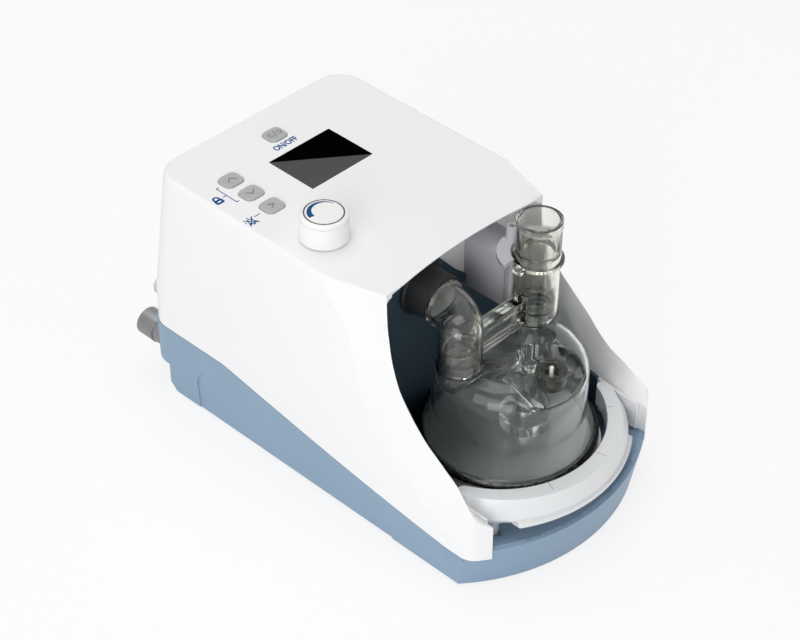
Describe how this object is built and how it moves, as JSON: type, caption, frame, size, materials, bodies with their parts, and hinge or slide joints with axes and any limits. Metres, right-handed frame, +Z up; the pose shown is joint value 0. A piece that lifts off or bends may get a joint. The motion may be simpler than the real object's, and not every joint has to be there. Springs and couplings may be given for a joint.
{
  "type": "heated respiratory humidifier",
  "caption": "Heated humidifier with flow generator, clear water chamber, finger guard, oxygen knob and display.",
  "frame": {"origin": "middle of the part's outer box at the surface that it stands on", "axes": "+Z up, -Y towards the water chamber at the front, +X to the right of someone who faces the front from behind the part"},
  "size_m": [0.178, 0.351, 0.2025],
  "materials": {
    "cover_plastic": "fine satin moulded plastic, white",
    "guard_plastic": "smooth satin plastic, white",
    "base_plastic": "fine satin moulded plastic, blue grey",
    "liner_plastic": "matt moulded plastic, dark blue",
    "display_glass": "polished black window",
    "circuit_board": "solder mask",
    "dark_plastic": "moulded black plastic",
    "key_plastic": "soft satin grey",
    "rubber": "moulded elastomer",
    "ring_plastic": "warm dark grey",
    "brass": "machined",
    "contact_gold": "plated contact",
    "steel": "plain bright steel",
    "inlet_metal": "satin silver grey",
    "socket_plastic": "moulded pale grey",
    "sheet_metal": "folded sheet",
    "pale_plastic": "natural moulded plastic",
    "filter_foam": "open fibre pad",
    "grille_plastic": "moulded pale grey",
    "aluminium": "turned face",
    "heater_foil": "foil heater",
    "clear_plastic": "clear smoky moulded plastic"
  },
  "bodies": {
    "housing": {"top_cover": "cover_plastic", "tube_tower": "cover_plastic", "fill_pin": "cover_plastic", "base_case": "base_plastic", "bay_liner": "liner_plastic", "screen_window": "display_glass", "control_board": "circuit_board", "main_board": "circuit_board", "display_module": "dark_plastic", "key_switches": "dark_plastic", "outlet_cuff": "dark_plastic", "mains_inlet": "dark_plastic", "blower_housing": "dark_plastic", "blower_lid": "dark_plastic", "alarm_speaker": "dark_plastic", "thermal_cutout": "dark_plastic", "fill_port": "dark_plastic", "key_mat": "rubber", "rubber_feet": "rubber", "chamber_seal": "rubber", "blower_mounts": "rubber", "oxygen_tube": "rubber", "valve_body": "brass", "tube_contacts": "contact_gold", "hinge_pin": "steel", "guard_springs": "steel", "case_screws": "steel", "board_screws": "steel", "oxygen_inlet": "inlet_metal", "sensor_socket": "socket_plastic", "power_supply": "sheet_metal", "chassis_tray": "sheet_metal", "blower_motor": "sheet_metal", "inlet_duct": "pale_plastic", "flow_sensor": "pale_plastic", "outlet_duct": "pale_plastic", "heater_carrier": "pale_plastic", "air_filter": "filter_foam", "heater_plate": "aluminium", "chamber_plate": "aluminium", "heater_element": "heater_foil", "chamber_dome": "clear_plastic"},
    "power_key": {"power_key": "key_plastic"},
    "up_key": {"up_key": "key_plastic"},
    "down_key": {"down_key": "key_plastic"},
    "mute_key": {"mute_key": "key_plastic"},
    "knob": {"oxygen_knob": "cover_plastic", "knob_cap": "cover_plastic", "knob_ring": "ring_plastic", "valve_stem": "steel"},
    "guard": {"finger_guard": "guard_plastic"},
    "fan": {"impeller": "pale_plastic"},
    "filter_door": {"filter_cover": "grille_plastic"},
    "float": {"chamber_float": "pale_plastic"},
    "adapter": {"tube_adapter": "clear_plastic", "adapter_seals": "rubber"}
  },
  "joints": [
    {"name": "power_key_press", "type": "slide", "parent": "housing", "child": "power_key", "axis": [0, 0.0222, -0.9998], "range_m": [0, 0.0008], "stiffness_N_per_m": 1200, "springref_m": -0.0002},
    {"name": "up_key_press", "type": "slide", "parent": "housing", "child": "up_key", "axis": [0, 0.0222, -0.9998], "range_m": [0, 0.0008], "stiffness_N_per_m": 1200, "springref_m": -0.0002},
    {"name": "down_key_press", "type": "slide", "parent": "housing", "child": "down_key", "axis": [0, 0.0222, -0.9998], "range_m": [0, 0.0008], "stiffness_N_per_m": 1200, "springref_m": -0.0002},
    {"name": "mute_key_press", "type": "slide", "parent": "housing", "child": "mute_key", "axis": [0, 0.0222, -0.9998], "range_m": [0, 0.0008], "stiffness_N_per_m": 1200, "springref_m": -0.0002},
    {"name": "knob_turn", "type": "hinge", "parent": "housing", "child": "knob", "pos_m": [-0.0572, 0.0107, 0.18324], "axis": [0, -0.0222, 0.9998], "range_deg": [-135, 135]},
    {"name": "guard_press", "type": "slide", "parent": "housing", "child": "guard", "axis": [0, 0, -1], "range_m": [0, 0.008], "stiffness_N_per_m": 350, "springref_m": -0.003, "deforming": ["guard_springs"]},
    {"name": "fan_spin", "type": "hinge", "parent": "housing", "child": "fan", "pos_m": [0.008, 0.042, 0.14], "axis": [0, 0, 1], "continuous": true},
    {"name": "filter_door_swing", "type": "hinge", "parent": "housing", "child": "filter_door", "pos_m": [0, 0.15476, 0.08972], "axis": [-1, 0, 0], "range_deg": [0, 90]},
    {"name": "float_rise", "type": "slide", "parent": "housing", "child": "float", "axis": [0, 0, 1], "range_m": [0, 0.03]},
    {"name": "adapter_lift", "type": "slide", "parent": "housing", "child": "adapter", "axis": [0, 0, 1], "range_m": [0, 0.015]}
  ]
}
